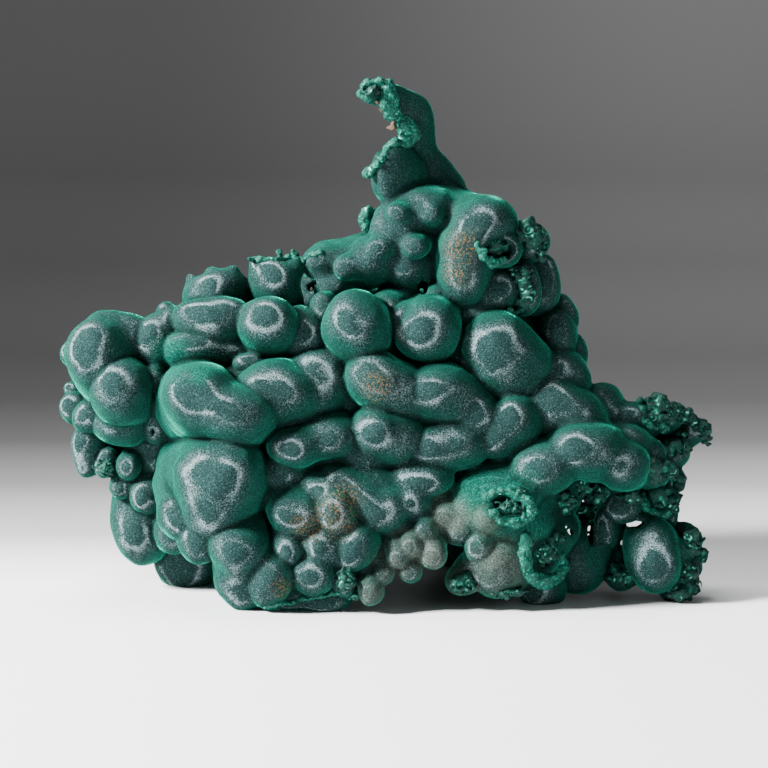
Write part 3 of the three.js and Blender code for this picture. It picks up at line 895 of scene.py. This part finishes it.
class Nodes:
    """Short ways to add shader nodes and link them."""

    def __init__(self, name):
        self.material = bpy.data.materials.new(name)
        self.material.use_nodes = True
        self.tree = self.material.node_tree
        self.shader = self.tree.nodes["Principled BSDF"]

    def add(self, kind, **settings):
        node = self.tree.nodes.new(kind)
        for key, value in settings.items():
            setattr(node, key, value)
        return node

    def link(self, source, target):
        self.tree.links.new(source, target)

    def feed(self, node, name, value):
        if isinstance(value, bpy.types.NodeSocket):
            self.link(value, node.inputs[name])
        else:
            node.inputs[name].default_value = value

    def shade(self, inputs):
        for name, value in inputs.items():
            self.feed(self.shader, name, value)
        return self.material

    def attribute(self, name):
        return self.add("ShaderNodeAttribute", attribute_name=name).outputs["Fac"]

    def place(self):
        return self.add("ShaderNodeTexCoord").outputs["Object"]

    def noise(self, size_mm, detail=2.0, roughness=0.55):
        node = self.add("ShaderNodeTexNoise")
        self.feed(node, "Vector", self.place())
        self.feed(node, "Scale", 1 / (size_mm * MM))
        self.feed(node, "Detail", detail)
        self.feed(node, "Roughness", roughness)
        return node.outputs["Fac"]

    def cells(self, size_mm, feature="F1"):
        node = self.add("ShaderNodeTexVoronoi", feature=feature)
        self.feed(node, "Vector", self.place())
        self.feed(node, "Scale", 1 / (size_mm * MM))
        return node.outputs["Distance"]

    def math(self, operation, first, second=0.0):
        node = self.add("ShaderNodeMath", operation=operation)
        self.feed(node, 0, first)
        self.feed(node, 1, second)
        return node.outputs[0]

    def times(self, first, second):
        return self.math("MULTIPLY", first, second)

    def between(self, value, low, high, to_low=0.0, to_high=1.0):
        node = self.add("ShaderNodeMapRange", interpolation_type="SMOOTHSTEP")
        self.feed(node, "Value", value)
        self.feed(node, "From Min", low)
        self.feed(node, "From Max", high)
        self.feed(node, "To Min", to_low)
        self.feed(node, "To Max", to_high)
        return node.outputs[0]

    def mix(self, share, first, second, blend="MIX"):
        node = self.add("ShaderNodeMix", data_type="RGBA", blend_type=blend, clamp_factor=False)
        self.feed(node, 0, share)
        for index, value in ((6, first), (7, second)):
            self.feed(node, index, (*value, 1) if isinstance(value, tuple) else value)
        return node.outputs[2]

    def tint(self, colour, gain):
        """The colour made brighter or darker by a gain."""
        return self.mix(1.0, colour, self.mix(gain, BLACK, WHITE), blend="MULTIPLY")

    def bump(self, height, depth_mm, strength=1.0, normal=None):
        node = self.add("ShaderNodeBump")
        self.feed(node, "Strength", strength)
        self.feed(node, "Distance", depth_mm * MM)
        self.feed(node, "Height", height)
        if normal is not None:
            self.link(normal, node.inputs["Normal"])
        return node.outputs["Normal"]


def malachite_material():
    """Velvety malachite: grey-green lobe tops, a pale ring that is a painted highlight, deep green flanks,
    and painted shade in creases and pockets.
    """
    n = Nodes("velvet_malachite")
    grain = n.noise(0.5, detail=4.0, roughness=0.85)
    clouds = n.noise(9.0, detail=3.0)
    wander = n.times(n.math("SUBTRACT", n.noise(4.0, detail=2.0), 0.5), 10.0)
    fray = n.times(n.math("SUBTRACT", grain, 0.5), 9.0)
    angle = n.math("ADD", n.math("ADD", n.attribute("highlight_ring_angle"), wander), fray)
    hood = n.attribute("hood")

    top = n.mix(clouds, *TOP_COLOURS)
    flank = n.mix(clouds, *FLANK_COLOURS)
    colour = n.mix(n.between(angle, 30, 62), top, flank)
    colour = n.mix(hood, colour, HOOD_COLOUR)

    # Painted highlight: a pale ring at a fixed angle from the way between the camera and the key light,
    # with a softer halo outside it.
    inner = n.between(angle, RING_START, RING_PEAK)
    outer = n.between(angle, RING_PEAK, RING_END, 0.7, 0.0)
    halo = n.between(angle, RING_PEAK, HALO_END, 0.45, 0.0)
    ring = n.times(inner, n.math("ADD", outer, halo))
    ring = n.times(ring, n.between(n.noise(10.0, detail=1.0), 0.36, 0.58, 0.35, 1.0))
    plain = n.math("MAXIMUM", hood, n.attribute("plain"))
    ring = n.times(ring, n.math("SUBTRACT", 1.0, plain))
    ring = n.times(ring, n.between(n.attribute("bulge"), -0.02, 0.05, 0.3, 1.0))
    # Painted glints: pale specks, dense in the painted highlight ring and sparse elsewhere.
    glint_specks = n.math("ADD", grain, n.times(ring, 0.25))
    glint_specks = n.math("SUBTRACT", glint_specks, n.between(angle, 34, 60, 0.0, 0.05))
    colour = n.mix(n.between(glint_specks, 0.54, 0.92), colour, RING_HIGHLIGHT_COLOUR)

    turns = n.math("SINE", n.times(n.attribute("highlight_ring_angle"), 0.75))
    stripes = n.times(n.between(turns, 0.75, 1.0), hood)
    colour = n.mix(n.times(stripes, 0.35), colour, HOOD_STRIPE)

    # Painted shade: concave creases between lobes are darkened.
    crease_shade = n.between(n.attribute("bulge"), 0.02, -0.3)
    colour = n.mix(n.times(crease_shade, 0.75), colour, PAINTED_SHADE_COLOUR)

    rust_grain = n.between(n.noise(0.8, detail=3.0, roughness=0.7), 0.5, 0.62)
    rust = n.times(n.attribute("rust"), rust_grain)
    colour = n.mix(n.times(rust, 0.7), colour, RUST_COLOUR)
    grey = n.times(n.attribute("grey"), n.between(clouds, 0.35, 0.6, 0.5, 1.0))
    colour = n.mix(n.times(grey, 0.65), colour, GREY_COLOUR)
    # Painted shade inside pockets and in the shadow spots.
    colour = n.mix(n.times(n.attribute("hollow"), 0.9), colour, PAINTED_SHADE_COLOUR)

    colour = n.tint(colour, n.between(grain, 0.3, 0.72, 0.3, 2.2))
    velvet = n.bump(n.noise(0.5, detail=3.0, roughness=0.7), 0.3, 0.8)
    lumps = n.bump(n.cells(2.2, "SMOOTH_F1"), 0.5, 0.2, velvet)
    sheen = n.between(n.attribute("bulge"), -0.3, 0.0)
    return n.shade({"Base Color": colour, "Roughness": 0.8, "Specular IOR Level": 0.04,
                    "Sheen Weight": sheen, "Sheen Roughness": 0.16,
                    "Sheen Tint": (*SHEEN_COLOUR, 1), "Normal": lumps})


def crust_material(name, deep, bright, pale, bright_from, fibre_share):
    """Fibrous malachite: hollows darkened to nearly black as painted shade, bright green broken edges, and
    pale streaks on the sharpest edges that are partly a painted highlight.
    """
    n = Nodes(name)
    fibres = n.noise(0.7, detail=3.0, roughness=0.8)
    streaks = n.times(n.math("SUBTRACT", fibres, 0.5), fibre_share)
    edge = n.math("ADD", n.attribute("edge"), streaks)
    # Painted shade and highlight: darker where the crust curves in, brighter and then pale where it stands
    # out.
    colour = n.mix(n.between(edge, bright_from, bright_from + 0.5), deep, bright)
    colour = n.mix(n.between(edge, bright_from + 0.5, bright_from + 1.1), colour, pale)
    return n.shade({"Base Color": colour, "Roughness": 0.4, "Specular IOR Level": 0.12,
                    "Normal": n.bump(fibres, 0.4, 0.8)})


def crumb_material():
    n = Nodes("rusty_limonite")
    colour = n.mix(n.between(n.noise(0.8, detail=3.0), 0.35, 0.65), *CRUMB_COLOURS)
    return n.shade({"Base Color": colour, "Roughness": 0.8,
                    "Normal": n.bump(n.noise(0.5, detail=3.0), 0.4, 0.8)})


# ---- stage, light and camera ----
CAMERA_DISTANCE = 1.15
FRAME_WIDTH = 0.261  # width of the view at the specimen
AIM_HEIGHT = 0.069
FLAT_RADII = (0.6, 1.2, 1.8)  # rings of the level floor
BEND_RADIUS = 1.2  # of the sweep from the floor into the wall
BEND_STEPS = 12
STAGE_RADIUS = 3.0
WALL_TOP = 3.5
STAGE_SIDES = 96


def make_stage():
    """A pale round floor that sweeps up into a darker wall on every side."""
    profile = [(radius, 0.0) for radius in FLAT_RADII]
    for i in range(1, BEND_STEPS + 1):
        turn = math.radians(90 * i / BEND_STEPS)
        profile.append((FLAT_RADII[-1] + BEND_RADIUS * math.sin(turn), BEND_RADIUS * (1 - math.cos(turn))))
    profile.append((STAGE_RADIUS, WALL_TOP))
    points = []
    for radius, height in profile:
        for k in range(STAGE_SIDES):
            turn = 2 * math.pi * k / STAGE_SIDES
            points.append((radius * math.cos(turn), radius * math.sin(turn), height))
    faces = [tuple(range(STAGE_SIDES))]
    for ring in range(len(profile) - 1):
        for k in range(STAGE_SIDES):
            a, b = ring * STAGE_SIDES + k, ring * STAGE_SIDES + (k + 1) % STAGE_SIDES
            faces.append((a, a + STAGE_SIDES, b + STAGE_SIDES, b))
    mesh = bpy.data.meshes.new("stage")
    mesh.from_pydata(points, [], faces)
    mesh.update()
    for face in mesh.polygons:
        face.use_smooth = True
    stage = new_object("stage", mesh)
    mesh.materials.append(stage_material())


def stage_material():
    """Pale paper that falls off behind the specimen into a darker grey, with painted light that makes it
    lighter to the right.
    """
    n = Nodes("studio_sweep")
    place = n.add("ShaderNodeSeparateXYZ")
    n.link(n.place(), place.inputs[0])
    before = n.math("SUBTRACT", n.times(place.outputs["Y"], -1.0), 1.4)
    behind = n.math("MAXIMUM", place.outputs["Y"], before)
    ramp = n.add("ShaderNodeValToRGB")
    n.link(n.math("DIVIDE", behind, STAGE_RADIUS), ramp.inputs[0])
    tones = ((0.0, 0.77), (0.012, 0.62), (0.03, 0.28), (0.067, 0.097), (0.105, 0.034), (0.147, 0.019),
             (0.20, 0.0172), (0.27, 0.024), (0.36, 0.0295), (0.6, 0.072), (1.0, 0.117))
    stops = ramp.color_ramp.elements
    for i, (place_share, tone) in enumerate(tones):   # a new ramp already has two stops
        stop = stops[i] if i < 2 else stops.new(place_share)
        stop.position = place_share
        stop.color = (tone, tone, tone * 1.015, 1)
    # Painted light: the backdrop is made lighter to the right, where the key light falls off.
    rightward = n.between(place.outputs["X"], -0.25, 0.35)
    away = n.between(behind, 0.02, 0.2)
    rightward = n.times(rightward, n.between(behind, 0.5, 2.2, 1.7, 0.95))
    gain = n.math("ADD", 1.0, n.times(rightward, away))
    return n.shade({"Base Color": n.tint(ramp.outputs["Color"], gain), "Roughness": 0.4,
                    "Specular IOR Level": 0.2})


def add_soft_light(name, spot, aim, size, watts):
    data = bpy.data.lights.new(name, "AREA")
    data.shape = "DISK"
    data.size = size
    data.energy = watts
    lamp = new_object(name, data)
    lamp.location = spot
    lamp.rotation_euler = (Vector(aim) - Vector(spot)).to_track_quat("-Z", "Y").to_euler()


def make_lights():
    aim = (0, 0, 0.07)
    add_soft_light("key", (-1.12, -0.33, 0.78), aim, 0.33, 162)
    add_soft_light("top", (-0.2, 0.3, 1.4), aim, 0.8, 28)
    add_soft_light("fill", (0.9, -1.3, 0.5), aim, 0.9, 1.5)
    world = bpy.data.worlds.new("studio")
    world.use_nodes = True
    background = world.node_tree.nodes["Background"]
    background.inputs["Color"].default_value = (0.9, 0.93, 1, 1)
    background.inputs["Strength"].default_value = 0.12
    bpy.context.scene.world = world


def make_camera():
    data = bpy.data.cameras.new("camera")
    data.sensor_width = 36
    data.lens = data.sensor_width * CAMERA_DISTANCE / FRAME_WIDTH
    data.clip_end = 20
    camera = new_object("camera", data)
    aim = Vector((SHIFT[0] * MM, 0, AIM_HEIGHT))
    reach = Vector((0, -math.cos(VIEW_ELEVATION), math.sin(VIEW_ELEVATION)))
    camera.location = aim + CAMERA_DISTANCE * reach
    camera.rotation_euler = (-reach).to_track_quat("-Z", "Y").to_euler()
    bpy.context.scene.camera = camera


# ---- putting it together ----
make_camera()
make_stage()
make_lights()

stone, stone_values, noise = make_stone()
crusts = crusty_piece("malachite_crusts", [crust_skin(stone_values, row, noise) for row in CRUSTS])
rims = crusty_piece("bright_rims", [rim_skin(stone_values, row, noise) for row in RIMS])
crumbs = make_crumbs(stone_values, noise)
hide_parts(NODE)

dark_crust = crust_material("crust_malachite", *CRUST_COLOURS, bright_from=0.02, fibre_share=1.6)
bright_fibres = crust_material("fibrous_malachite", *FIBRE_COLOURS, bright_from=0.1, fibre_share=3.0)
for piece, material, slot in ((stone, malachite_material(), "malachite"),
                              (crusts, dark_crust, "bright_malachite"),
                              (rims, bright_fibres, "bright_malachite"),
                              (crumbs, crumb_material(), "limonite")):
    piece.data.materials.append(material)
    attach(piece, "root")
